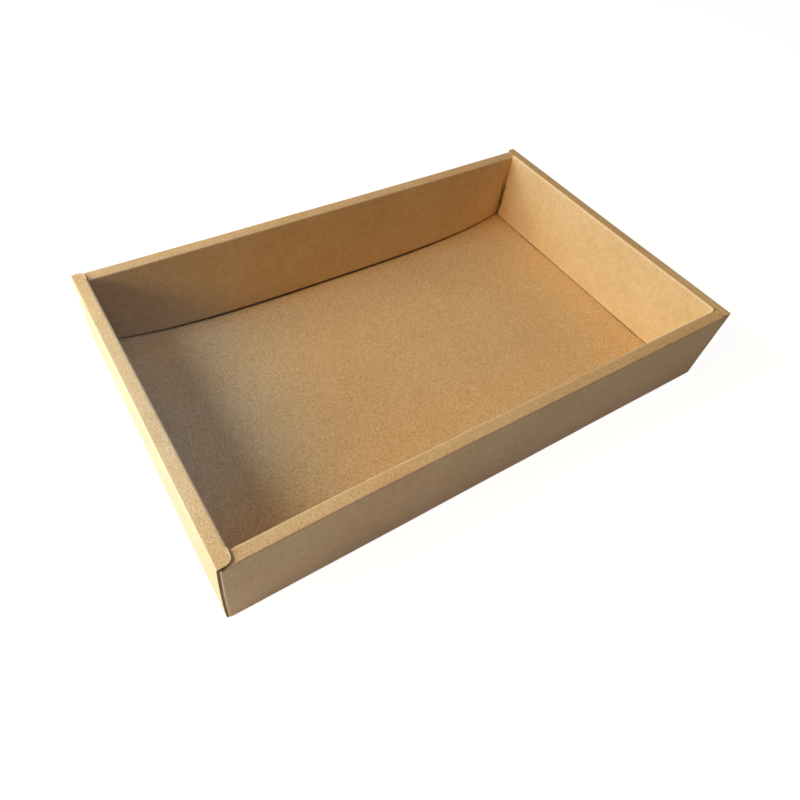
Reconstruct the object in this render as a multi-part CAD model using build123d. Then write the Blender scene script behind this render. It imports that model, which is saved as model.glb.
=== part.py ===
from build123d import *
import os

# Folded tray of corrugated board, made from one die-cut blank with no glue.
# X runs along the tray, Y across it and Z up. The origin is the middle of the underside.
# All sizes are in millimetres.

# Outside of the tray
length = 450.0
width = 276.0
height = 71.2

# The board: two liners with a waved sheet between them, creased at every fold
board = 1.5
liner = 0.25
wave_sheet = 0.22
flute_pitch = 3.4
glue_line = 0.7
crushed_strip = 1.6
crease_radius = 0.4
air = 0.2

# The flat rim band on top of every hollow wall, and the rounded ends of the end walls' bands
rim = 9.5
rim_end_radius = 5.0
rim_end_setback = 1.2

# How far the springy board bows inwards, half way along each long wall
back_rim_bow = 2.6
back_foot_bow = 17.2
front_rim_bow = 1.4
front_foot_bow = 4.0

# How much further in the end inner walls stand at the foot than at the rim
end_foot_lean = 1.3

# Flaps that fold round the corners into the hollow end walls
flap_length = 62.0
flap_corner = 9.0

# Tabs on the foot of each end inner wall, locked in slots through the base
tab_width = 32.0
tab_spacing = 140.0
tab_recess = 0.2
tab_corner = 1.0

# Relief notch in both side edges of each end inner wall
notch_low = 14.0
notch_high = 38.0
notch_depth = 1.1

# Planes that the panels share
fold_radius = crease_radius + board
stub = fold_radius + board
half_length = length / 2
half_width = width / 2
long_wall_height = height - board - air
floor_top = board + air
end_inner_face = half_length - rim
end_inner_foot = end_inner_face - end_foot_lean
long_inner_face = half_width - rim
flap_face = half_length - board - air
long_wall_reach = flap_face - fold_radius
end_wall_reach = half_width - rim_end_setback
end_inner_reach = long_inner_face - air


def board_section(route):
    """Section of the board whose outer liner follows the route, with a crease at each corner."""
    outer_liner = FilletPolyline(*route, radius=fold_radius)
    return make_face(offset(outer_liner, board, side=Side.LEFT))


def long_wall_section(rim_bow, foot_bow):
    """Long wall's section from the base out, up, over the rim band and down inside, at one bow."""
    drop = long_wall_height - floor_top
    lean = foot_bow - rim_bow
    foot = long_wall_height - (drop**2 - lean**2) ** 0.5
    return board_section(
        [
            (half_width - stub, 0),
            (half_width, 0),
            (half_width - rim_bow, long_wall_height),
            (half_width - rim_bow - rim, long_wall_height),
            (half_width - rim - foot_bow, foot),
        ]
    )


def long_wall(rim_bow, foot_bow):
    """Hollow wall along the back, held straight by the end walls and bowed between them."""
    stations = []
    for share in (-1, -0.75, -0.4, 0, 0.4, 0.75, 1):
        bow = 1 - share**4
        section = long_wall_section(rim_bow * bow, foot_bow * bow)
        stations.append(Plane.YZ.offset(share * end_inner_foot) * section)
    wall = loft(stations)
    held_end = Plane.YZ.offset(end_inner_foot) * long_wall_section(0, 0)
    held_end = extrude(held_end, long_wall_reach - end_inner_foot)
    return wall + held_end + mirror(held_end, Plane.YZ)


def corner_flap():
    """Flap round the back right corner, lying against the end outer wall inside its hollow."""
    route = [
        (flap_face, half_width - flap_length),
        (flap_face, half_width),
        (long_wall_reach - board, half_width),
    ]
    low = fold_radius
    high = long_wall_height - fold_radius
    flap = extrude(Plane.XY.offset(low) * board_section(route), high - low)
    free_corners = flap.edges().filter_by(Axis.X).group_by(Axis.Y)[0]
    return chamfer(free_corners, flap_corner)


def flute_row(start, finish):
    """Hollows on both sides of the waved sheet, along a straight run of the outer liner."""
    run = Plane(origin=start, x_dir=Vector(*finish) - Vector(*start))
    half_pitch = flute_pitch / 2
    wide = half_pitch - glue_line / 2
    narrow = glue_line / 2
    over = Polygon(
        (-wide, board - liner),
        (wide, board - liner),
        (narrow, liner + wave_sheet),
        (-narrow, liner + wave_sheet),
        align=None,
    )
    under = Pos(half_pitch, board) * mirror(over, Plane.XZ)
    count = int((Vector(*finish) - Vector(*start)).length / flute_pitch)
    return [run * Pos((i + 0.5) * flute_pitch, 0) * hollow for i in range(count) for hollow in (over, under)]


def end_wall_section(rim_edge, inner_wall):
    """Right end wall's fluted section, with its rim band's flat top ending at rim_edge."""
    foot = (half_length, 0)
    top = (half_length, height)
    route = [(half_length - stub, 0), foot, top, (end_inner_face, height)]
    crushed = fold_radius + crushed_strip - board
    hollows = flute_row((half_length, crushed), (half_length, height - crushed))
    hollows += flute_row((half_length - crushed, height), (rim_edge, height))
    if inner_wall:
        route.append((end_inner_foot, floor_top))
    return board_section(route) - hollows


def rounded_lap_outline():
    """Upright block over the end of the rim band, rounded at the band's inner corner."""
    lap_length = end_wall_reach - end_inner_reach
    plan = Pos(end_inner_face, end_inner_reach) * Rectangle(rim, lap_length, align=Align.MIN)
    inner_corner = plan.vertices().group_by(Axis.X)[0].sort_by(Axis.Y)[-1]
    return extrude(fillet(inner_corner, rim_end_radius), height)


def end_wall():
    """Hollow wall at the right end, locked in the base, with rim band ends lapped on the long walls."""
    section = end_wall_section(end_inner_face + fold_radius, True)
    lap_section = end_wall_section(end_inner_face, False)
    half = extrude(Plane.XZ * section, -end_inner_reach)
    lap = extrude(Plane.XZ.offset(-end_inner_reach) * lap_section, end_inner_reach - end_wall_reach)
    half += lap & rounded_lap_outline()
    notch = Box(stub, notch_depth, notch_high - notch_low, align=(Align.CENTER, Align.MAX, Align.MIN))
    half -= Pos(end_inner_face, end_inner_reach, notch_low) * notch
    tab = Box(board, tab_width, floor_top - tab_recess, align=(Align.MIN, Align.CENTER, Align.MIN))
    tab = chamfer(tab.edges().filter_by(Axis.X).group_by(Axis.Z)[0], tab_corner)
    half += Pos(end_inner_foot, tab_spacing / 2, tab_recess) * tab
    return half + mirror(half, Plane.XZ)


def slotted_base():
    """Flat base with a slot for each lock tab."""
    base = Box(2 * (half_length - fold_radius), 2 * (half_width - fold_radius), board)
    slot = Box(board + 2 * air, tab_width + 2 * air, board)
    slot_row = end_inner_foot + board / 2
    base -= GridLocations(2 * slot_row, tab_spacing, 2, 2) * slot
    return Pos(0, 0, board / 2) * base


tray = slotted_base()
tray += long_wall(back_rim_bow, back_foot_bow)
tray += Rot(0, 0, 180) * long_wall(front_rim_bow, front_foot_bow)
flap = corner_flap()
flaps = [flap, mirror(flap, Plane.XZ)]
tray += flaps + [mirror(side, Plane.YZ) for side in flaps]
right_end = end_wall()
tray += [right_end, mirror(right_end, Plane.YZ)]

os.makedirs("parts", exist_ok=True)
export_step(tray, "parts/folded_tray.step")
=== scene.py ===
"""Folded cardboard tray: the die-cut sheet, its kraft board and the table it is shown on.

Lengths in the properties are in metres. The sheet code works in millimetres, in the frame's axes.
"""
import math

import bpy
from mathutils import Matrix, Vector, noise


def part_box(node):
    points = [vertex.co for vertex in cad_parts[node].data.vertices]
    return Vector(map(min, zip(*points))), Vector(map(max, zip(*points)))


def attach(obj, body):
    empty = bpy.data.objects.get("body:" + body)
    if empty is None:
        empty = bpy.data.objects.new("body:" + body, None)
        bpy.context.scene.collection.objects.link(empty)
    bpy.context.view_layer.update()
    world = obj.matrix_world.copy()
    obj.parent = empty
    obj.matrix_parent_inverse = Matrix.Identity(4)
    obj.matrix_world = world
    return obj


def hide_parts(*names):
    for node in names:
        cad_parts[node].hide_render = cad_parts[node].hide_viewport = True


bl_info = {
    "name": "Folded cardboard tray",
    "version": (1, 0, 0),
    "blender": (4, 5, 0),
    "location": "3D View > Sidebar > Tray",
    "description": "Folds a tray from one die-cut sheet of corrugated board and lights it",
    "category": "Object",
}

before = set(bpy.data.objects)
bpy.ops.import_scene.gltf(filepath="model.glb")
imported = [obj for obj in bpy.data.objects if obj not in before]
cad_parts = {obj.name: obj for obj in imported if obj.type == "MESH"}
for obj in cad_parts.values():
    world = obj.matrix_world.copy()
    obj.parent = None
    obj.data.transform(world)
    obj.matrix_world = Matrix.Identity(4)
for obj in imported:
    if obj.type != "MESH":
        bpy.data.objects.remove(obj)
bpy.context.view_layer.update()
NODE = "folded_tray"
BODY = "root"
LOW, HIGH = (Vector(corner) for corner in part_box(NODE))
MM = 1000.0
ARC = math.pi / 2
NOISE_SEED = 153
# how near two lengths on the sheet count as one, and how far a nudge sets them apart, in millimetres
NEAR = 1e-3
NUDGE = 0.02
# the finishes of the sheet's faces, in the order of its materials; the last is painted shade, the dark put inside
# the open flutes and on the laps' cut edges
LINER, CUT, FLUTE_SHADE = range(3)


def length_prop(name, description, default):
    """A length in metres that the user may change."""
    return bpy.props.FloatProperty(
        name=name, description=description, default=default, min=0.0, precision=5, unit="LENGTH"
    )


def colour_prop(name, description, default):
    """A colour that the user may change."""
    return bpy.props.FloatVectorProperty(
        name=name, description=description, default=default, subtype="COLOR", size=3, min=0.0, max=1.0
    )


class TraySheetSizes(bpy.types.PropertyGroup):
    """Sizes of the board and of the folded tray"""

    length: length_prop("Length", "Outside length of the tray", HIGH.x - LOW.x)
    width: length_prop("Width", "Outside width of the tray", HIGH.y - LOW.y)
    height: length_prop("Height", "Height at the end walls' rims", HIGH.z - LOW.z)
    board: length_prop("Board", "Thickness of the corrugated board", 0.0015)
    liner: length_prop("Liner", "Thickness of one liner", 0.00025)
    wave: length_prop("Waved sheet", "Thickness of the waved sheet between the liners", 0.00032)
    pitch: length_prop("Flute pitch", "Distance from one flute to the next", 0.0034)
    rim: length_prop("Rim", "Width of the flat band on top of the walls", 0.0095)
    back_rim_bow: length_prop("Back rim bow", "How far the back rim bows inwards", 0.0026)
    back_foot_bow: length_prop("Back foot bow", "How far the back inner wall's foot bows in", 0.0172)
    front_rim_bow: length_prop("Front rim bow", "How far the front rim bows inwards", 0.0014)
    front_foot_bow: length_prop("Front foot bow", "How far the front inner wall's foot bows in", 0.004)


class TrayBoardColours(bpy.types.PropertyGroup):
    """Colours of the kraft board, and of the shade and highlights painted on it"""

    liner: colour_prop("Liner", "Main colour of the liners", (0.705, 0.485, 0.262))
    pale: colour_prop("Pale fibres", "Paler fibres", (0.83, 0.62, 0.385))
    dark: colour_prop("Dark fibres", "Darker patches and fibres", (0.51, 0.325, 0.15))
    fleck: colour_prop("Flecks", "Specks in the pulp", (0.16, 0.09, 0.045))
    # pale creases: scuffs, and partly painted highlights where the folds catch the light
    scuff_and_highlight: colour_prop("Scuffs", "Rubbed fibres on the creases", (0.93, 0.76, 0.54))
    # painted shade: the colour put into the gaps and seams between panels
    seam: colour_prop("Seams", "Dark lines where panels meet", (0.10, 0.05, 0.025))
    cut: colour_prop("Cut edge", "Raw cut edges of the sheets", (0.62, 0.42, 0.22))
    # painted shade: the open flutes and the laps' cut edges are made this dark, where the board only lies in shade
    flute: colour_prop("Flutes", "The inside of the open flutes", (0.12, 0.065, 0.03))


class TrayStageLook(bpy.types.PropertyGroup):
    """Lamps, floor and background"""

    light: bpy.props.FloatProperty(name="Lamps", description="Strength of all the lamps together", default=1.0)
    fill: bpy.props.FloatProperty(name="Fill", description="Strength of the even light", default=0.07)
    even: colour_prop("Even light", "Colour of the even light", (0.43, 0.64, 1.0))
    table: colour_prop("Table", "Colour of the table as the tray is lit by it", (0.80, 0.80, 0.79))
    shaded: colour_prop("Shaded table", "Share of the seen table that takes shadows", (0.30, 0.30, 0.30))
    glow: bpy.props.FloatProperty(name="Glow", description="White that the seen table adds to it", default=0.93)


MARKS = (
    # specks and a scratch in the liner, and lines down the back right corner, a tear and painted shade of the
    # corner's gap: both ends on the flat sheet, half width, colour
    ((0.1542, 0.0999, 0.0015), (0.1545, 0.1001, 0.0015), 0.0013, "fleck"),
    ((0.0314, 0.0084, 0.0015), (0.0316, 0.0085, 0.0015), 0.0009, "fleck"),
    ((0.0191, 0.2525, 0.0), (0.0192, 0.2526, 0.0), 0.0005, "fleck"),
    ((-0.0460, -0.1763, 0.0), (-0.0391, -0.1823, 0.0), 0.0005, "scuff_and_highlight"),
    ((0.2122, 0.2402, 0.0), (0.2116, 0.2485, 0.0), 0.0005, "fleck"),
    # painted shade in the gap of the back right corner
    ((0.2116, 0.2485, 0.0), (0.2138, 0.2560, 0.0), 0.0009, "seam"),
    ((0.2130, 0.2545, 0.0), (0.2141, 0.2690, 0.0), 0.0008, "seam"),
)

LAMPS = (
    # name, kind, place, aimed at, power, size (a spot's radius and cone in degrees), colour
    ("window_high", "AREA", (-0.937, 0.344, 0.843), (-0.2, 0, 0.03), 6.59, (0.4, 0.4), (0.747, 0.893, 1.0)),
    ("window_low", "AREA", (-1.219, 0.475, 0.269), (-0.2, 0, 0.03), 9.41, (0.4, 0.4), (0.583, 0.902, 1.0)),
    ("left_warm", "AREA", (-1.212, -0.088, 0.57), (-0.2, 0, 0.03), 6.56, (0.4, 0.4), (1.0, 0.714, 0.347)),
    ("far_warm", "AREA", (-1.949, 1.635, 1.62), (0, 0, 0.03), 22, (0.9, 0.9), (1.0, 0.694, 0.262)),
    ("ceiling", "AREA", (-0.1, 0, 1.4), (-0.1, 0, 0.03), 3.94, (1.2, 1.2), (1.0, 0.562, 0.062)),
    ("low_front", "AREA", (-0.1, -0.9, 0.05), (-0.1, 0, 0.035), 1.27, (1.2, 0.09), (0.565, 0.655, 1.0)),
    ("low_left", "AREA", (-0.55, 0, 0.034), (-0.2, 0, 0.034), 0.593, (0.24, 0.04), (0.0, 0.326, 1.0)),
    ("cool_spot", "SPOT", (-0.2, -0.2, 0.52), (-0.235, 0.02, 0.03), 3.71, (0.06, 36), (0.0, 0.424, 1.0)),
)


def smooth(low, high, value):
    """Soft step from 0 at low to 1 at high."""
    share = min(max((value - low) / (high - low), 0.0), 1.0)
    return share * share * (3 - 2 * share)


def left_of(direction):
    """The direction a quarter turn to the left."""
    return Vector((-direction.y, direction.x))


def crushed(depth, distance):
    """Depth into the board at some distance from a crease, where its rule has pressed the flutes flat."""
    return depth * (Sheet.crush + (1 - Sheet.crush) * smooth(0, Sheet.crush_strip, distance))


def rounded_route(corners, radii):
    """Lines and corner arcs of a route, each as a function of its share and the depth to the left."""
    pieces = []
    start = corners[0]

    def line(begin, end, free_end=False):
        run = end - begin
        side = left_of(run.normalized())

        def place(share, depth):
            to_crease = share * run.length if free_end else min(share, 1 - share) * run.length
            return begin + run * share + side * crushed(depth, to_crease)

        return place

    def arc(centre, into, turn, radius):
        def place(share, depth):
            along = Matrix.Rotation(turn * share, 2) @ into
            return centre - left_of(along) * (radius - crushed(depth, 0))

        return place

    for before, corner, after, radius in zip(corners, corners[1:], corners[2:], radii):
        into = (corner - before).normalized()
        out = (after - corner).normalized()
        turn = math.atan2(into.x * out.y - into.y * out.x, into.dot(out))
        reach = radius * math.tan(turn / 2)
        entry = corner - into * reach
        pieces += [line(start, entry), arc(entry + left_of(into) * radius, into, turn, radius)]
        start = corner + out * reach
    return pieces + [line(start, corners[-1], True)]


def bands_at(distance, lengths):
    """Which stretch of a route a distance falls in, and its share of that stretch."""
    for number, reach in enumerate(lengths):
        if distance <= reach + 1e-6 or number == len(lengths) - 1:
            return number, distance / reach
        distance -= reach


class Sheet:
    """The flat sheet (u along the tray, v across it, w into the board) and where folding puts it."""

    # gap between panels, radius of the bottom and rim folds, and radius of each wall's inner fold by side
    air = 0.2
    fold = 0.8
    end_fold = {-1: 1.8, 1: 2.2}
    long_fold = {-1: 1.0, 1: 1.7}
    # how flat a creasing rule presses the board, and how far from the crease
    crush = 0.5
    crush_strip = 1.8
    # inner walls: height of the foot over the base, and lean of the end walls'
    foot_gap = 0.5
    end_lean = 2.0
    # corner flaps: gap to the end wall, length and cut corners
    flap_gap = 0.35
    flap_length = 62.0
    flap_corner = 9.0
    # long rims: how far in their left and right ends stand, and their sway between them
    rim_ends = {1: (0.2, 1.35), -1: (0.0, 1.3)}
    rim_sway = {1: 0.0, -1: 0.35}
    # end rims: rounded laps, how much these are cut short, and how far the outer edge hangs
    lap_radius = 5.0
    lap_short = 0.4
    rim_tilt = {-1: 0.9, 1: 0.1}
    # lock tabs: where one starts and ends along the wall, and its gap to the table
    tab = (54.0, 86.0)
    tab_recess = 0.2
    # side edges of the end inner walls: a notch's low and high end, its depth, the cut back at
    # top and foot, and the row that this fades to
    notch = (14.0, 38.0)
    notch_depth = 1.1
    corner_relief = (0.9, 3.6)
    cut_from = 105.0
    # how deep the open flutes are made
    pocket = 4.0

    def __init__(self, sizes):
        self.board = sizes.board * MM
        self.liner = sizes.liner * MM
        self.wave = sizes.wave * MM
        self.pitch = sizes.pitch * MM
        self.rim = sizes.rim * MM
        self.half_length = sizes.length * MM / 2
        self.half_width = sizes.width * MM / 2
        self.height = sizes.height * MM
        self.bows = {
            1: (sizes.back_rim_bow * MM, sizes.back_foot_bow * MM),
            -1: (sizes.front_rim_bow * MM, sizes.front_foot_bow * MM),
        }
        self.low_height = self.height - self.board - self.air
        self.floor_top = self.board + self.air
        self.end_face = self.half_length - self.rim
        self.end_foot = self.end_face - self.end_lean
        self.long_start = self.half_width - self.fold
        self.end_start = self.half_length - self.fold
        self.flap_face = self.half_length - self.board - self.flap_gap
        self.flap_start = self.flap_face - self.fold
        self.end_reach = self.long_start
        self.inner_reach = self.half_width - self.rim - self.air
        self.inner_edge = self.inner_reach - self.corner_relief[0]
        self.foot = self.floor_top + self.foot_gap
        self.long_bands = {side: self.bands(self.low_height, inner) for side, inner in self.long_fold.items()}
        self.end_bands = {
            side: self.bands(self.height, inner) + [self.foot - self.tab_recess]
            for side, inner in self.end_fold.items()
        }
        self.routes = {}

    def bands(self, height, inner):
        """Lengths along a wall: bottom fold, outer panel, rim fold, rim, inner fold and inner panel."""
        bend = self.fold * ARC
        return [bend, height - 2 * self.fold, bend, self.rim - self.fold - inner, inner * ARC,
                height - self.foot - inner]

    def bow(self, u, side):
        """How far in a long wall's rim and its inner foot stand, at one place along the tray."""
        rim_bow, foot_bow = self.bows[side]
        left, right = self.rim_ends[side]
        along = u / self.flap_start
        rim_at = rim_bow + (right - left) / 2 * along - (rim_bow - (right + left) / 2) * along**2
        rim_at -= self.rim_sway[side] * math.sin(math.pi * along)
        inner = max(0.0, 1 - abs(u / self.end_foot) ** 3.6)
        return rim_at, rim_at + (foot_bow - rim_bow) * inner

    def long_route(self, u, side):
        """Section of a long wall at one place along the tray."""
        key = (round(u, 3), side)
        if key not in self.routes:
            rim_bow, foot_bow = self.bow(u, side)
            drop = self.low_height - self.foot
            foot = self.low_height - math.sqrt(drop**2 - (foot_bow - rim_bow) ** 2)
            self.routes[key] = rounded_route([
                Vector((self.half_width - 2 * self.fold, 0)),
                Vector((self.half_width, 0)),
                Vector((self.half_width - rim_bow, self.low_height)),
                Vector((self.half_width - rim_bow - self.rim, self.low_height)),
                Vector((self.half_width - self.rim - foot_bow, foot)),
            ], [self.fold, self.fold, self.long_fold[side]])[1:]
        return self.routes[key]

    def end_route(self, side):
        """Section of an end wall, with the tab at its foot."""
        if side not in self.routes:
            foot = Vector((self.end_foot, self.foot))
            self.routes[side] = rounded_route([
                Vector((self.half_length - 2 * self.fold, 0)),
                Vector((self.half_length, 0)),
                Vector((self.half_length, self.height - self.rim_tilt[side])),
                Vector((self.end_face, self.height)),
                foot,
            ], [self.fold, self.fold, self.end_fold[side]])[1:]
            down = self.foot - self.tab_recess
            self.routes[side].append(lambda share, depth: foot + Vector((depth, -down * share)))
        return self.routes[side]

    def folded(self, u, v, w):
        """Place in the folded tray of a point of the flat sheet."""
        side_u, side_v = int(math.copysign(1, u)), int(math.copysign(1, v))
        far_u, far_v = abs(u), abs(v)
        if far_u >= self.end_start - NEAR and far_v <= self.end_reach + NEAR:
            bands = self.end_bands[side_u]
            number, share = bands_at(far_u - self.end_start, bands)
            if number > 3 and far_v > self.inner_edge + NUDGE / 2:
                share = 1 + (far_u - self.end_start - sum(bands[:4])) / bands[3]
                number = 3
            across, z = self.end_route(side_u)[number](share, w)
            return Vector((side_u * across, v, z))
        if far_v > self.long_start:
            number, share = bands_at(far_v - self.long_start, self.long_bands[side_v])
            turn = min(max(far_u - self.flap_start, 0.0) / self.fold, ARC)
            run = far_u - self.flap_start - turn * self.fold
            if number == 1:
                w = crushed(w, abs(run))
            section = self.long_route(side_u * min(far_u, self.flap_start), side_v)[number]
            across, z = section(share, w)
            if far_u <= self.flap_start + NEAR:
                return Vector((u, side_v * across, z))
            radius = self.fold - w
            outside = section(share, 0).x
            x = self.flap_start + radius * math.sin(turn)
            y = outside - self.fold + radius * math.cos(turn) - run
            return Vector((side_u * x, side_v * y, z))
        return Vector((u, v, crushed(w, min(self.end_start - far_u, self.long_start - far_v))))

    def side_cut(self, u, v, depth):
        """How far a side edge of an end inner wall is cut back, at some depth below its fold."""
        share = smooth(0, self.height - self.foot, depth)
        ragged = 0.5 * noise.noise(Vector((u * 0.9, math.copysign(7, v), 3))) * smooth(0, 6, depth)
        return share * (self.corner_relief[1] - self.corner_relief[0]) + ragged

    def below_fold(self, u):
        """Distance from an end wall's inner fold down to a point of its inner panel."""
        return abs(u) - self.end_start - sum(self.end_bands[int(math.copysign(1, u))][:5])

    def sprung(self, place):
        """Small bends and waves of the real board, as one smooth shift of the space it fills."""
        x, y, z = place
        up = z / self.height
        along, back = x / self.half_length, y / self.half_width
        # long and short waves, which leave the underside flat
        shift = 0.22 * Vector(noise.noise_vector(place / 85)) + 0.09 * Vector(noise.noise_vector(place / 27))
        shift.z *= smooth(0.5, 12, z)
        # the left wall leans out, more at the back, its rim band is wider in front, and its front corner bulges
        shift.x -= smooth(-195, -215, x) * (up * (0.75 + 0.65 * back) - 0.15)
        shift.x += up * smooth(-224.5, -217, x) * smooth(-150, -205, x) * (1.25 - 0.5 * back)
        shift.x -= 2.6 * up * (1 - up) * smooth(-0.7, -1, back) * smooth(-215, -221, x)
        # the right inner wall's foot stands further out at the back
        foot = smooth(221.5, 216.5, x) * smooth(190, 212, x) * (1 - up)
        shift.x += foot * (0.3 + 1.75 * back)
        # the right outer wall leans out at the top and in at the front
        right = smooth(219, 223, x)
        shift.x += right * (up**4 * (0.35 - 0.15 * back) - 0.5 * smooth(0, -1, back))
        # the front outer wall swells at its foot, towards the left
        shift.y -= 0.9 * (1 - up) * smooth(0.85, 0.98, -back) * smooth(0.5, -1, along)
        # the rims rise towards the back, and a little at the front right
        shift.z += up * smooth(-0.2, 1, back) * (0.5 * smooth(1, -0.3, along) + 0.6 * smooth(-1, -0.3, along))
        shift.z += up * 0.5 * right * smooth(0.2, -1, back)
        return place + shift

    def tilt_end(self, u, place):
        """Long rims give way under the end walls' tilted bands."""
        if abs(u) > self.end_foot and place.z > self.floor_top:
            tilt = self.rim_tilt[int(math.copysign(1, u))]
            place.z -= tilt * smooth(0, 1, (abs(u) - self.end_foot) / 9) * place.z / self.height
        return place


class SheetMesh:
    """Collects the corners and faces of the folded sheet."""

    def __init__(self, sheet):
        self.sheet = sheet
        self.index = {}
        self.blank = []
        self.places = []
        self.cells = []
        self.faces = []
        self.finish = []

    def corner(self, u, v, w):
        """Number of the corner at a point of the flat sheet."""
        key = (round(u, 3), round(v, 3), round(w, 3))
        if key not in self.index:
            self.index[key] = len(self.places)
            sheet = self.sheet
            place = sheet.folded(u, v, w)
            if abs(v) > sheet.long_start and abs(u) <= sheet.flap_start + NEAR:
                place = sheet.tilt_end(u, place)
            self.places.append(sheet.sprung(place) / MM)
            self.blank.append((u / MM, v / MM, w / MM))
        return self.index[key]

    def add_face(self, corners, finish):
        """Add a face, leaving out corners that coincide."""
        ring = [c for n, c in enumerate(corners) if c != corners[n - 1]]
        if len(ring) > 2:
            self.faces.append(ring)
            self.finish.append(finish)

    def add_patch(self, columns, rows, keep=None, shape=None):
        """Add the cells of a grid on the flat sheet, where keep allows them."""
        def point(u, v):
            u, v = shape(u, v) if shape else (u, v)
            return (round(u, 3), round(v, 3))

        for u0, u1 in zip(columns, columns[1:]):
            for v0, v1 in zip(rows, rows[1:]):
                if keep is None or keep((u0 + u1) / 2, (v0 + v1) / 2):
                    self.cells.append([point(u0, v0), point(u1, v0), point(u1, v1), point(u0, v1)])

    def wave_levels(self, u):
        """Both faces of the waved sheet where the cut crosses it."""
        s = self.sheet
        swing = s.board / 2 - s.liner - s.wave / 2 - 0.01
        middle = s.board / 2 + swing * math.cos(2 * math.pi * u / s.pitch)
        return middle - s.wave / 2, middle + s.wave / 2

    def levels(self, u, v):
        """Corners across a cut edge, from the outer liner to the inner one."""
        s = self.sheet
        low, high = self.wave_levels(u)
        return [self.corner(u, v, w) for w in (0, s.liner, low, high, s.board - s.liner, s.board)]

    def pocketed(self, u, v, inwards):
        """Corners across a cut edge with the open flutes between the sheets."""
        s = self.sheet
        low, high = self.wave_levels(u)
        deep = (u + inwards.x * s.pocket, v + inwards.y * s.pocket)
        edge = (u, v)
        walk = [(edge, 0), (edge, s.liner), (deep, s.liner), (deep, low), (edge, low),
                (edge, high), (deep, high), (deep, s.board - s.liner), (edge, s.board - s.liner), (edge, s.board)]
        return [self.corner(*where, w) for where, w in walk]

    def is_fluted(self, a, b):
        """Whether a cut edge runs across open flutes that can be seen."""
        s = self.sheet
        far = [abs(p[0]) - s.end_start for p in (a, b)]
        if min(far) < -NEAR or abs(a[0] - b[0]) < NUDGE:
            return False
        if max(abs(a[1]), abs(b[1])) > s.end_reach + NEAR:
            return False
        side = int(math.copysign(1, a[0]))
        bands = s.end_bands[side]
        wall = bands[0]
        top = wall + bands[1]
        band = top + bands[2]
        flat_end = band + bands[3]
        land = flat_end + s.end_fold[side] - s.lap_short
        inner = flat_end + bands[4]
        foot = inner + bands[5]
        on_lap = min(abs(a[1]), abs(b[1])) > s.inner_edge + NUDGE / 2
        stretches = [(wall, top), (band, land if on_lap else flat_end)]
        if not on_lap:
            stretches.append((inner, foot))
        return any(low - NEAR <= min(far) and max(far) <= high + NEAR for low, high in stretches)

    def close(self):
        """Make both liners and every cut edge from the cells."""
        directed = {}
        for cell in self.cells:
            for a, b in zip(cell, cell[1:] + cell[:1]):
                directed[(a, b)] = cell
        border = {edge for edge in directed if (edge[1], edge[0]) not in directed}
        fine = {edge: self.split(*edge) for edge in border if self.is_fluted(*edge)}
        board = self.sheet.board
        for cell in self.cells:
            ring = []
            for a, b in zip(cell, cell[1:] + cell[:1]):
                ring += [a] + fine.get((a, b), [])
            self.add_face([self.corner(*p, board) for p in ring], LINER)
            self.add_face([self.corner(*p, 0) for p in reversed(ring)], LINER)
        for a, b in border:
            if (a, b) not in fine:
                self.ribbon(self.levels(*a), self.levels(*b))
        self.flute_runs(fine)

    def split(self, a, b):
        """Points between a and b, close enough to draw the flutes' waves."""
        count = max(2, math.ceil(abs(b[0] - a[0]) / self.sheet.pitch * 10))
        steps = [n / count for n in range(1, count)]
        return [(round(a[0] + (b[0] - a[0]) * t, 3), round(a[1] + (b[1] - a[1]) * t, 3)) for t in steps]

    def ribbon(self, at_a, at_b):
        """Faces of a cut edge between two lists of corners across it; the open flutes and the laps' edges get the
        painted-shade finish.
        """
        u, v, w = self.blank[at_a[0]]
        sheet = self.sheet
        on_lap = abs(v) * MM > sheet.inner_edge + NUDGE / 2 and -u * MM > sheet.end_start + sheet.height
        for lower in range(len(at_a) - 1):
            upper = lower + 1
            in_pocket = len(at_a) == 10 and lower % 4 != 0
            # pocket faces and the laps' edges take the painted-shade finish
            finish = FLUTE_SHADE if in_pocket or on_lap else CUT
            self.add_face([at_b[upper], at_a[upper], at_a[lower], at_b[lower]], finish)

    def flute_runs(self, fine):
        """Follow each run of fluted edges and open its flutes."""
        after = {a: b for a, b in fine}
        before = {b: a for a, b in fine}

        def heading(a, b):
            return Vector((b[0] - a[0], b[1] - a[1])).normalized()

        def turns(a, b, c):
            return heading(a, b).angle(heading(b, c)) > math.radians(50)

        starts = [a for a in after if a not in before or turns(before[a], a, after[a])]
        for start in starts:
            line = [start]
            while line[-1] in after:
                if len(line) > 1 and turns(line[-2], line[-1], after[line[-1]]):
                    break
                line.append(after[line[-1]])
            points = [line[0]]
            for a, b in zip(line, line[1:]):
                points += fine[(a, b)] + [b]
            rows = []
            for number, point in enumerate(points):
                ahead = points[min(number + 1, len(points) - 1)]
                behind = points[max(number - 1, 0)]
                rows.append(self.pocketed(*point, left_of(heading(behind, ahead))))
            for at_a, at_b in zip(rows, rows[1:]):
                self.ribbon(at_a, at_b)
            for first in (1, 5):
                self.add_face(rows[0][first:first + 4], FLUTE_SHADE)
                self.add_face(rows[-1][first:first + 4][::-1], FLUTE_SHADE)


def parts(low, high, count):
    """Values from low to high, both included, in a number of even steps."""
    return [low + (high - low) * n / count for n in range(count + 1)]


def spread(low, high, step):
    """Even steps of about the given size from low to high, both included."""
    return parts(low, high, max(1, round((high - low) / step)))


def in_order(values, side=1):
    """The values on one side of the sheet, in order and without repeats."""
    return sorted({round(side * value, 4) for value in values})


def both_sides(values):
    """The values and their negatives, in order and without repeats."""
    return sorted({*in_order(values), *in_order(values, -1)})


def panel_values(start, end, step):
    """Grid values along a long panel, with some close to the crease at each end."""
    near = [start, start + 0.5, end - 0.7, end - 0.5, end]
    return near + spread(start + 1.6, end - 1.6, step)


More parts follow.
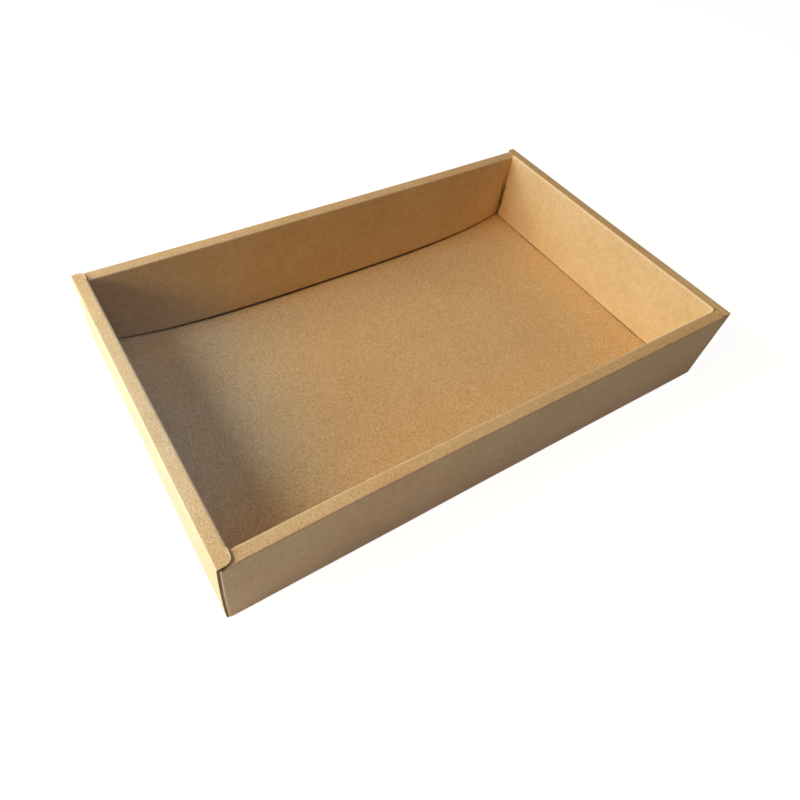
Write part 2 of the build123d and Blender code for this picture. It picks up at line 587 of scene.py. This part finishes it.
def band_values(start, lengths):
    """Grid values along a folded wall: creases finely, panels coarsely."""
    values = []
    for number, length in enumerate(lengths):
        end = start + length
        if number % 2 == 0:
            values += parts(start, end, 6)
        elif length > 20:
            values += panel_values(start, end, 7.0)
        else:
            values += spread(start, end, 1.5)
        start = end
    return values


class Layout:
    """Rows across the sheet and columns along it, which its panels share."""

    def __init__(self, sheet):
        self.slot = (sheet.end_foot - sheet.air, sheet.end_foot + sheet.board + sheet.air)
        self.slot_rows = (sheet.tab[0] - sheet.air, sheet.tab[1] + sheet.air)
        self.notch_row = sheet.inner_edge - sheet.notch_depth
        fine_from = sheet.cut_from + 1
        lap_rows = parts(sheet.inner_reach, sheet.end_reach, 8)
        self.base_rows = both_sides(
            spread(0, self.slot_rows[0], 7.5) + [sheet.tab[0]]
            + spread(sheet.tab[0], sheet.tab[1], 8) + [self.slot_rows[1]]
            + spread(self.slot_rows[1], fine_from, 7.5)
            + spread(fine_from, self.notch_row, 1.25) + [sheet.inner_edge]
            + lap_rows[:-1] + [sheet.long_start]
        )
        self.wall_rows = {
            side: in_order(band_values(sheet.long_start, bands), side) for side, bands in sheet.long_bands.items()
        }
        low = sheet.long_start + sheet.long_bands[1][0]
        high = low + sheet.long_bands[1][1]
        self.outer_rows = [v for v in self.wall_rows[1] if low - NEAR <= v <= high + NEAR]
        self.columns = both_sides(
            spread(0, self.slot[0], 7.0) + [self.slot[1], 218.6, sheet.flap_start - 0.5, sheet.flap_start]
        )


def add_base_and_long_walls(mesh, layout):
    """The slotted base and both long walls."""
    slot, slot_rows = layout.slot, layout.slot_rows

    def off_slots(u, v):
        return not (slot[0] < abs(u) < slot[1] and slot_rows[0] < abs(v) < slot_rows[1])

    wide = sorted({*layout.columns, *both_sides([mesh.sheet.end_start])})
    mesh.add_patch(wide, layout.base_rows, off_slots)
    for side in (-1, 1):
        mesh.add_patch(layout.columns, layout.wall_rows[side])


def add_flaps(mesh, layout):
    """The four flaps at the ends of the long outer walls."""
    sheet, rows = mesh.sheet, layout.outer_rows
    bend_end = sheet.flap_start + sheet.fold * ARC
    flap_end = bend_end + sheet.flap_length - sheet.fold
    columns = parts(sheet.flap_start, bend_end, 6) + spread(bend_end, flap_end, 9.0)[1:]
    middle = (rows[0] + rows[-1]) / 2
    half = rows[-1] - middle

    def cut_corners(u, v):
        narrow = max(0.0, abs(u) - (flap_end - sheet.flap_corner)) / half
        return u, math.copysign(middle + (abs(v) - middle) * (1 - narrow), v)

    for side_u in (-1, 1):
        for side_v in (-1, 1):
            mesh.add_patch(in_order(columns, side_u), in_order(rows, side_v), shape=cut_corners)


def add_end_wall(mesh, layout, side):
    """An end wall: outer panel and rim, rounded laps, notched inner panel and lock tabs."""
    sheet, rows = mesh.sheet, layout.base_rows
    bends = sheet.end_bands[side]
    wall_at = sheet.end_start + bends[0]
    wall_end = wall_at + bends[1]
    rim_at = wall_end + bends[2]
    land_end = rim_at + bends[3]
    lap_end = land_end + sheet.end_fold[side] - sheet.lap_short
    inner_at = land_end + bends[4]
    foot_at = inner_at + bends[5]
    inner_top = sheet.height - sheet.end_fold[side]
    notch_high, notch_low = (inner_at + inner_top - z for z in reversed(sheet.notch))

    outer_columns = parts(sheet.end_start, wall_at, 6) + spread(wall_at, wall_end, sheet.pitch)
    outer_columns += parts(wall_end, rim_at, 6) + spread(rim_at, land_end, 0.95)
    lap_columns = spread(land_end, lap_end, 0.38)
    inner_columns = parts(land_end, inner_at, 8) + [inner_at + 0.5]
    inner_columns += spread(inner_at, notch_high, sheet.pitch) + spread(notch_high, notch_low, sheet.pitch)
    inner_columns += spread(notch_low, foot_at, sheet.pitch) + [foot_at - 0.7]
    tab_columns = [foot_at, foot_at + bends[6]]
    inner_rows = [v for v in rows if abs(v) <= sheet.inner_edge + NEAR]

    def round_lap(u, v):
        if abs(u) > land_end + NEAR and abs(v) < sheet.inner_edge + NEAR:
            return u, math.copysign(sheet.inner_edge + NUDGE, v)
        beyond = abs(u) - (lap_end - sheet.lap_radius)
        if beyond <= 0 or abs(v) <= sheet.inner_reach:
            return u, v
        end = sheet.end_reach - sheet.lap_radius + math.sqrt(max(0.0, sheet.lap_radius**2 - beyond**2))
        share = (abs(v) - sheet.inner_reach) / (sheet.end_reach - sheet.inner_reach)
        return u, math.copysign(sheet.inner_reach + share * (end - sheet.inner_reach), v)

    def cut_back(u, v):
        share = max(0.0, (abs(v) - sheet.cut_from) / (sheet.inner_edge - sheet.cut_from))
        return u, math.copysign(abs(v) - sheet.side_cut(u, v, abs(u) - inner_at) * share, v)

    def off_notch(u, v):
        return not (notch_high < abs(u) < notch_low and abs(v) > layout.notch_row)

    def on_tab(u, v):
        return sheet.tab[0] < abs(v) < sheet.tab[1]

    mesh.add_patch(in_order(outer_columns, side), rows, shape=round_lap)
    for end in (-1, 1):
        first = sheet.inner_reach if side > 0 > end else sheet.inner_edge
        mesh.add_patch(in_order(lap_columns, side), [v for v in rows if v * end >= first - NEAR], shape=round_lap)
    mesh.add_patch(in_order(inner_columns, side), inner_rows, off_notch, cut_back)
    mesh.add_patch(in_order(tab_columns, side), inner_rows, on_tab, cut_back)


def fold_blank(sizes):
    """The sheet, and the corners and faces of the whole of it, folded."""
    noise.seed_set(NOISE_SEED)
    sheet = Sheet(sizes)
    mesh = SheetMesh(sheet)
    layout = Layout(sheet)
    add_base_and_long_walls(mesh, layout)
    add_flaps(mesh, layout)
    for side in (-1, 1):
        add_end_wall(mesh, layout, side)
    mesh.close()
    return sheet, mesh


class Spot:
    """A point of the flat sheet: its sides, its distances from the middle, and its wall's bands."""

    def __init__(self, sheet, u, v):
        self.u, self.v = u, v
        self.side_u, self.side_v = int(math.copysign(1, u)), int(math.copysign(1, v))
        self.far_u, self.far_v = abs(u), abs(v)
        self.on_long = self.far_v > sheet.long_start + NEAR
        if self.on_long:
            self.start, self.bands, self.far = sheet.long_start, sheet.long_bands[self.side_v], self.far_v
        else:
            self.start, self.bands, self.far = sheet.end_start, sheet.end_bands[self.side_u], self.far_u

    def reach(self, count):
        """Where the first bands of the wall end."""
        return self.start + sum(self.bands[:count])


def pale_scuff_and_highlight(sheet, spot):
    """How pale the board is painted along the middles of its creases: scuffs, and partly painted highlights where
    the folds catch the light.
    """
    pale_amount = 0.0
    rim_fold = 0.3
    if spot.on_long:
        rim_fold = 0.35 if spot.side_v > 0 else 0.0
        from_corner = abs(spot.far_u - sheet.flap_start - sheet.fold * ARC / 2)
        pale_amount = math.exp(-((from_corner / 0.5) ** 2))
    # the inner fold is painted palest, partly as the highlight it catches
    for number, strength in ((0, 0.3), (2, rim_fold), (4, 1.0)):
        middle = spot.reach(number) + spot.bands[number] / 2
        pale_amount = max(pale_amount, strength * math.exp(-(((spot.far - middle) / 0.6) ** 2)))
    return pale_amount


def painted_seam_shade(sheet, spot):
    """How much shade is painted into the board where panels meet: at inner walls' feet, on the base behind them,
    along free side edges and at the laps' corners; also a darker line under the front rim fold.
    """
    dark = 0.0
    # painted shade at the lower ends of the inner walls and tabs, over the dark gap under them
    if spot.far > spot.reach(5):
        dark = smooth(1.1 if spot.on_long else 0.7, 0.0, spot.reach(6) - spot.far)
    if spot.on_long:
        below = spot.reach(2) - spot.far
        half_fold = spot.bands[2] / 2
        # a darker line just under the front rim fold
        if spot.side_v < 0 and -NEAR < below < 1.5:
            dark = 0.35 * smooth(1.5, 0.0, below)
        # painted shade where the rim fold meets the flap, under the lap's corner
        if abs(below + half_fold) < half_fold + 0.6 and spot.far_u > sheet.flap_start - 1.2:
            dark = 0.9
        return dark
    depth = sheet.below_fold(spot.u)
    # painted shade along the end inner walls' free side edges, in the corner gaps
    if depth > 4:
        edge = sheet.inner_edge - sheet.side_cut(spot.u, spot.v, depth) - spot.far_v
        height = sheet.height - sheet.end_fold[spot.side_u] - depth
        if sheet.notch[0] < height < sheet.notch[1]:
            edge -= sheet.notch_depth
        return max(dark, smooth(1.2, 0.0, edge))
    # painted shade of the hole at the front right lap's inner corner
    if abs(spot.far_u - spot.reach(4) - 1) < 1.1 and spot.side_u > 0 > spot.side_v:
        return smooth(1.3, 0.6, abs(spot.far_v - sheet.inner_reach + 0.3))
    # painted shade on the base beyond the end walls' feet and behind the long inner walls' feet, inside the hollows
    if spot.far_u < sheet.end_start:
        behind = spot.far_v - sheet.half_width + sheet.rim + sheet.bow(spot.u, spot.side_v)[1]
        return max(smooth(sheet.end_foot, sheet.end_foot + 1.0, spot.far_u), smooth(-0.4, 0.8, behind))
    return dark


def wear_and_painted_light(sheet, u, v):
    """Paint on the liner: up to 1 where a crease is painted pale, for scuffs and partly painted highlights, down to
    -1 where painted shade darkens a gap between panels.
    """
    spot = Spot(sheet, u, v)
    dark = painted_seam_shade(sheet, spot)
    return -dark if dark >= 0.05 else pale_scuff_and_highlight(sheet, spot) - dark


class Nodes:
    """Short way to add shader nodes and link them."""

    def __init__(self, tree):
        self.tree = tree

    def add(self, kind, inputs=None, **settings):
        node = self.tree.nodes.new(kind)
        for name, value in settings.items():
            setattr(node, name, value)
        for name, value in (inputs or {}).items():
            self.feed(node.inputs[name], value)
        return node

    def feed(self, socket, value):
        if isinstance(value, bpy.types.NodeSocket):
            self.tree.links.new(value, socket)
        else:
            socket.default_value = value

    def maths(self, operation, *values):
        node = self.add("ShaderNodeMath", operation=operation)
        for socket, value in zip(node.inputs, values):
            self.feed(socket, value)
        return node.outputs[0]

    def ramp(self, value, low, high, to_low=0.0, to_high=1.0):
        node = self.add("ShaderNodeMapRange", interpolation_type="SMOOTHSTEP")
        ends = {"Value": value, "From Min": low, "From Max": high, "To Min": to_low, "To Max": to_high}
        for name, given in ends.items():
            self.feed(node.inputs[name], given)
        return node.outputs["Result"]

    def mix(self, share, low, high):
        node = self.add("ShaderNodeMix", data_type="RGBA")
        for socket, value in ((node.inputs[0], share), (node.inputs[6], low), (node.inputs[7], high)):
            self.feed(socket, value)
        return node.outputs[2]

    def away(self, place, start, end):
        """Distance of a place from the line between two points."""
        run = Vector(end) - Vector(start)
        offset = self.add("ShaderNodeVectorMath", {0: place, 1: start}, operation="SUBTRACT").outputs["Vector"]
        along = self.add("ShaderNodeVectorMath", {0: offset, 1: run / run.length_squared}, operation="DOT_PRODUCT")
        share = self.add("ShaderNodeClamp", {"Value": along.outputs["Value"]}).outputs[0]
        nearest = self.add("ShaderNodeVectorMath", {0: run, "Scale": share}, operation="SCALE").outputs["Vector"]
        return self.add("ShaderNodeVectorMath", {0: offset, 1: nearest}, operation="DISTANCE").outputs["Value"]

    def noise(self, vector, scale, detail=2.0, roughness=0.5, stretch_by=(1, 1, 1), distortion=0.0):
        if stretch_by != (1, 1, 1):
            vector = self.add("ShaderNodeMapping", {"Vector": vector, "Scale": stretch_by}).outputs[0]
        node = self.add("ShaderNodeTexNoise", {
            "Vector": vector, "Scale": scale, "Detail": detail, "Roughness": roughness, "Distortion": distortion,
        })
        return node.outputs[0]


def new_group(name, inputs, outputs):
    """Node group with named sockets; returns its maker and its two ends."""
    group = bpy.data.node_groups.new(name, "ShaderNodeTree")
    for direction, sockets in (("INPUT", inputs), ("OUTPUT", outputs)):
        for label, kind, value in sockets:
            socket = group.interface.new_socket(name=label, in_out=direction, socket_type=kind)
            if value is not None:
                socket.default_value = value
    nodes = Nodes(group)
    return group, nodes, nodes.add("NodeGroupInput").outputs, nodes.add("NodeGroupOutput").inputs


def pulp_group(colours):
    """Kraft pulp: mottling, grain, fibres and flecks, laid on the flat sheet."""
    group, n, given, out = new_group(
        "kraft_pulp",
        [
            ("Sheet place", "NodeSocketVector", None),
            ("Base", "NodeSocketColor", (*colours.liner, 1)),
            ("Mottle", "NodeSocketFloat", 0.5),
            ("Grain", "NodeSocketFloat", 1.15),
            ("Flecks", "NodeSocketFloat", 1.0),
        ],
        [
            ("Colour", "NodeSocketColor", None),
            ("Relief", "NodeSocketFloat", None),
            ("Roughness", "NodeSocketFloat", None),
        ],
    )
    place = given["Sheet place"]
    pale, dark, speck = (*colours.pale, 1), (*colours.dark, 1), (*colours.fleck, 1)
    cloud = n.noise(place, 16.0, 3.0, 0.55)
    mottle = n.noise(place, 170.0, 3.0, 0.6, (0.8, 1, 1))
    grain = n.noise(place, 1120.0, 3.0, 0.8, (0.7, 1, 1))
    strands = n.noise(place, 480.0, 3.0, 0.6, (0.16, 1, 1), 1.2)
    tone = n.maths("ADD", n.ramp(cloud, 0.3, 0.7, -0.16, 0.16), n.ramp(mottle, 0.3, 0.7, -0.2, 0.2))
    tone = n.maths("MULTIPLY", tone, given["Mottle"])
    fine = n.maths("MULTIPLY", n.ramp(grain, 0.28, 0.72, -1.0, 1.0), given["Grain"])
    tone = n.maths("ADD", tone, fine)
    up = n.maths("MAXIMUM", tone, 0.0)
    down = n.maths("MAXIMUM", n.maths("MULTIPLY", tone, -1.0), 0.0)
    colour = n.mix(up, given["Base"], pale)
    colour = n.mix(down, colour, dark)
    pale_strand = n.maths("MULTIPLY", n.ramp(strands, 0.62, 0.78), 0.28)
    colour = n.mix(pale_strand, colour, pale)
    cell = n.add("ShaderNodeTexVoronoi", {"Vector": place, "Scale": 240.0, "Randomness": 1.0})
    pick = n.ramp(n.add("ShaderNodeSeparateColor", {"Color": cell.outputs["Color"]}).outputs[0], 0.90, 0.96)
    near = n.ramp(cell.outputs["Distance"], 0.15, 0.05)
    fleck = n.maths("MULTIPLY", n.maths("MULTIPLY", pick, near), 0.75)
    colour = n.mix(n.maths("MULTIPLY", fleck, given["Flecks"]), colour, speck)
    n.feed(out["Colour"], colour)
    n.feed(out["Relief"], n.maths("ADD", n.maths("MULTIPLY", grain, 0.6), n.maths("MULTIPLY", strands, 0.5)))
    n.feed(out["Roughness"], n.ramp(mottle, 0.3, 0.7, 0.60, 0.72))
    return group


def new_material(name):
    """Empty material with its shader; returns the material, its node maker and the shader."""
    material = bpy.data.materials.new(name)
    material.use_nodes = True
    material.node_tree.nodes.clear()
    n = Nodes(material.node_tree)
    shader = n.add("ShaderNodeBsdfPrincipled")
    n.add("ShaderNodeOutputMaterial", {"Surface": shader.outputs[0]})
    return material, n, shader


def rims_and_walls(n, split, base):
    """Masks of the rim bands and of the walls, from how far out a point lies beyond the base."""
    beyond = [n.maths("SUBTRACT", n.maths("ABSOLUTE", split.outputs[axis]), edge) for axis, edge in enumerate(base)]
    beyond = n.maths("MAXIMUM", *beyond)
    on_rim = n.maths("MULTIPLY", n.ramp(beyond, 0.0690, 0.0705), n.ramp(beyond, 0.0805, 0.0790))
    on_wall = n.maths("MULTIPLY", n.ramp(beyond, 0.0, 0.001), n.maths("SUBTRACT", 1.0, on_rim))
    return on_rim, on_wall


def liner_material(colours, pulp, pitch, base):
    """Kraft liner with the flutes just showing through, creases painted pale for scuffs and partly for highlights,
    painted shade in seams and gaps, and walls with less grain than the base.
    """
    material, n, shader = new_material("kraft_liner")
    place = n.add("ShaderNodeAttribute", attribute_name="sheet_place").outputs["Vector"]
    wear_light_and_shade = n.add("ShaderNodeAttribute", attribute_name="wear_and_painted_light").outputs["Fac"]
    split = n.add("ShaderNodeSeparateXYZ", {"Vector": place})
    on_rim, on_wall = rims_and_walls(n, split, base)
    paper = n.add("ShaderNodeGroup", {
        "Sheet place": place,
        "Grain": n.maths("MULTIPLY_ADD", on_wall, -0.4, 1.15),
        "Mottle": n.maths("MULTIPLY_ADD", n.maths("ADD", on_wall, on_rim), 0.45, 0.5),
    }, node_tree=pulp)
    phase = n.maths("MULTIPLY", split.outputs[0], 2 * math.pi / pitch)
    ribs = n.maths("MULTIPLY", n.maths("COSINE", phase), n.ramp(n.noise(place, 14.0), 0.35, 0.65, 0.3, 1.0))
    rib_tone = n.maths("MULTIPLY_ADD", ribs, 0.02, 0.02)
    colour = n.mix(rib_tone, paper.outputs["Colour"], (*colours.dark, 1))
    crinkle = n.noise(place, 900.0, 2.0, 0.6)
    # creases painted pale: scuffs, and partly painted highlights on the folds
    pale_crease = n.maths("MAXIMUM", wear_light_and_shade, 0.0)
    scuff_and_highlight = n.maths("MULTIPLY", pale_crease, n.ramp(crinkle, 0.35, 0.65, 0.35, 0.95))
    colour = n.mix(scuff_and_highlight, colour, (*colours.scuff_and_highlight, 1))
    for start, end, half_width, tint in MARKS:
        mark = n.ramp(n.away(place, start, end), half_width, half_width * 0.5, 0.0, 0.85)
        colour = n.mix(mark, colour, (*getattr(colours, tint), 1))
    # painted shade in the gaps and seams between panels
    seam = n.maths("MULTIPLY", n.maths("MAXIMUM", n.maths("MULTIPLY", wear_light_and_shade, -1.0), 0.0), 0.85)
    colour = n.mix(seam, colour, (*colours.seam, 1))
    fibres = n.maths("MULTIPLY", paper.outputs["Relief"], 0.00003)
    relief = n.maths("ADD", n.maths("MULTIPLY", ribs, 0.000012), fibres)
    relief = n.maths("ADD", relief, n.maths("MULTIPLY", n.maths("MULTIPLY", crinkle, pale_crease), 0.00008))
    bump = n.add("ShaderNodeBump", {"Strength": 0.8, "Distance": 1.0, "Height": relief})
    n.feed(shader.inputs["Base Color"], colour)
    n.feed(shader.inputs["Roughness"], paper.outputs["Roughness"])
    n.feed(shader.inputs["Normal"], bump.outputs[0])
    shader.inputs["Specular IOR Level"].default_value = 0.1
    return material


def cut_material(name, colour, pulp):
    """Raw cut edge of the board, or painted shade: the dark inside its open flutes and on the laps' edges."""
    material, n, shader = new_material(name)
    place = n.add("ShaderNodeAttribute", attribute_name="sheet_place").outputs["Vector"]
    paper = n.add("ShaderNodeGroup", {
        "Sheet place": place, "Base": (*colour, 1), "Mottle": 0.3, "Grain": 0.3, "Flecks": 0.3,
    }, node_tree=pulp)
    bump = n.add("ShaderNodeBump", {"Strength": 0.8, "Distance": 1.0})
    n.feed(bump.inputs["Height"], n.maths("MULTIPLY", paper.outputs["Relief"], 0.00008))
    n.feed(shader.inputs["Base Color"], paper.outputs["Colour"])
    n.feed(shader.inputs["Normal"], bump.outputs[0])
    shader.inputs["Roughness"].default_value = 0.85
    shader.inputs["Specular IOR Level"].default_value = 0.3
    return material


class TRAY_OT_fold_sheet(bpy.types.Operator):
    """Fold the tray from its one die-cut sheet and give it its kraft board"""

    bl_idname = "tray.fold_sheet"
    bl_label = "Fold the tray"

    def execute(self, context):
        sizes = context.scene.tray_sizes
        colours = context.scene.tray_colours
        sheet, made = fold_blank(sizes)
        mesh = bpy.data.meshes.new("tray_sheet")
        mesh.from_pydata([tuple(place) for place in made.places], [], made.faces)
        mesh.polygons.foreach_set("material_index", made.finish)
        place = mesh.attributes.new("sheet_place", "FLOAT_VECTOR", "POINT")
        place.data.foreach_set("vector", [value for point in made.blank for value in point])
        wear = mesh.attributes.new("wear_and_painted_light", "FLOAT", "POINT")
        wear.data.foreach_set("value", [wear_and_painted_light(sheet, u * MM, v * MM) for u, v, w in made.blank])
        mesh.shade_smooth()
        mesh.set_sharp_from_angle(angle=math.radians(38))
        mesh.validate()
        pulp = pulp_group(colours)
        base = (sheet.end_start / MM, sheet.long_start / MM)
        mesh.materials.append(liner_material(colours, pulp, sizes.pitch, base))
        mesh.materials.append(cut_material("kraft_cut_edge", colours.cut, pulp))
        # the painted shade of the open flutes and the laps' edges
        mesh.materials.append(cut_material("kraft_flute_shade", colours.flute, pulp))
        tray = bpy.data.objects.new("tray_sheet", mesh)
        context.scene.collection.objects.link(tray)
        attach(tray, BODY)
        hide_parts(NODE)
        return {"FINISHED"}


class TRAY_OT_set_stage(bpy.types.Operator):
    """Set the table, the lamps, the background and the camera"""

    bl_idname = "tray.set_stage"
    bl_label = "Set the stage"

    def execute(self, context):
        look = context.scene.tray_look
        self.lay_table(context, look)
        for lamp in LAMPS:
            self.hang_lamp(context, look.light, *lamp)
        self.light_world(context, look)
        self.place_camera(context)
        return {"FINISHED"}

    def lay_table(self, context, look):
        """A plain pale table that keeps the tray's shadow."""
        half = 3.0
        mesh = bpy.data.meshes.new("table_top")
        corners = [(-half, -half, 0), (half, -half, 0), (half, half, 0), (-half, half, 0)]
        mesh.from_pydata(corners, [], [(0, 1, 2, 3)])
        material = bpy.data.materials.new("table_top")
        material.use_nodes = True
        material.node_tree.nodes.clear()
        n = Nodes(material.node_tree)
        plain = n.add("ShaderNodeBsdfDiffuse", {"Color": (*look.table, 1)})
        soft = n.add("ShaderNodeBsdfDiffuse", {"Color": (*look.shaded, 1)})
        glow = n.add("ShaderNodeEmission", {"Color": (1, 1, 1, 1), "Strength": look.glow})
        seen = n.add("ShaderNodeAddShader")
        n.feed(seen.inputs[0], soft.outputs[0])
        n.feed(seen.inputs[1], glow.outputs[0])
        path = n.add("ShaderNodeLightPath")
        shown = n.add("ShaderNodeMixShader", {"Fac": path.outputs["Is Camera Ray"]})
        n.feed(shown.inputs[1], plain.outputs[0])
        n.feed(shown.inputs[2], seen.outputs[0])
        n.add("ShaderNodeOutputMaterial", {"Surface": shown.outputs[0]})
        mesh.materials.append(material)
        table = bpy.data.objects.new("table_top", mesh)
        context.scene.collection.objects.link(table)

    def hang_lamp(self, context, strength, name, kind, place, target, power, size, colour):
        """A soft lamp aimed at a point, which the camera doesn't see."""
        lamp = bpy.data.lights.new(name, kind)
        if kind == "AREA":
            lamp.shape = "RECTANGLE"
            lamp.size, lamp.size_y = size
        else:
            lamp.shadow_soft_size = size[0]
            lamp.spot_size = math.radians(size[1])
            lamp.spot_blend = 1.0
        lamp.energy = power * strength
        lamp.color = colour
        holder = bpy.data.objects.new(name, lamp)
        holder.location = place
        holder.rotation_euler = (Vector(target) - Vector(place)).to_track_quat("-Z", "Y").to_euler()
        holder.visible_camera = False
        context.scene.collection.objects.link(holder)

    def light_world(self, context, look):
        """White to the camera and in reflections, and a weak even light on the tray."""
        world = bpy.data.worlds.new("studio")
        world.use_nodes = True
        world.node_tree.nodes.clear()
        n = Nodes(world.node_tree)
        path = n.add("ShaderNodeLightPath")
        shown = n.maths("MAXIMUM", path.outputs["Is Camera Ray"], path.outputs["Is Glossy Ray"])
        shown = n.maths("MAXIMUM", shown, path.outputs["Is Transmission Ray"])
        even = n.add("ShaderNodeBackground", {"Color": (*look.even, 1), "Strength": look.fill})
        white = n.add("ShaderNodeBackground", {"Color": (1, 1, 1, 1), "Strength": 1.0})
        both = n.add("ShaderNodeMixShader", {"Fac": shown})
        n.feed(both.inputs[1], even.outputs[0])
        n.feed(both.inputs[2], white.outputs[0])
        n.add("ShaderNodeOutputWorld", {"Surface": both.outputs[0]})
        context.scene.world = world
        context.scene.view_settings.view_transform = "Standard"

    def place_camera(self, context):
        """The photograph's view of the tray."""
        right = Vector((0.8540470536, -0.5151393448, 0.0723538921))
        down = Vector((-0.3590828199, -0.6844414031, -0.6345072847))
        ahead = Vector((0.3763816663, 0.5159180374, -0.7695228522))
        lens = bpy.data.cameras.new("camera")
        lens.sensor_width = 36.0
        lens.lens = 28.5654
        lens.shift_x = 0.06104
        lens.shift_y = -0.01243
        lens.clip_start = 0.01
        lens.clip_end = 50.0
        camera = bpy.data.objects.new("camera", lens)
        turn = Matrix((right, -down, -ahead)).transposed().to_4x4()
        camera.matrix_world = Matrix.Translation((-0.2571462, -0.2876561, 0.4078139)) @ turn
        context.scene.collection.objects.link(camera)
        context.scene.camera = camera


class TRAY_PT_panel(bpy.types.Panel):
    """The tray's steps and values in the sidebar"""

    bl_idname = "TRAY_PT_panel"
    bl_label = "Folded tray"
    bl_space_type = "VIEW_3D"
    bl_region_type = "UI"
    bl_category = "Tray"

    def draw(self, context):
        for step in STEPS:
            self.layout.operator(step.bl_idname)
        for group in (context.scene.tray_sizes, context.scene.tray_colours, context.scene.tray_look):
            column = self.layout.column(align=True)
            for name in group.bl_rna.properties.keys():
                if name not in ("rna_type", "name"):
                    column.prop(group, name)


STEPS = (TRAY_OT_fold_sheet, TRAY_OT_set_stage)
VALUES = {"tray_sizes": TraySheetSizes, "tray_colours": TrayBoardColours, "tray_look": TrayStageLook}


def register():
    """Make the values, steps and panel known."""
    for kind in (*VALUES.values(), *STEPS, TRAY_PT_panel):
        bpy.utils.register_class(kind)
    for name, kind in VALUES.items():
        setattr(bpy.types.Scene, name, bpy.props.PointerProperty(type=kind))


def unregister():
    """Take them out again."""
    for name in VALUES:
        delattr(bpy.types.Scene, name)
    for kind in (TRAY_PT_panel, *reversed(STEPS), *VALUES.values()):
        bpy.utils.unregister_class(kind)


def main():
    """Run every step in order."""
    register()
    bpy.ops.tray.fold_sheet()
    bpy.ops.tray.set_stage()


if __name__ == "__main__":
    main()
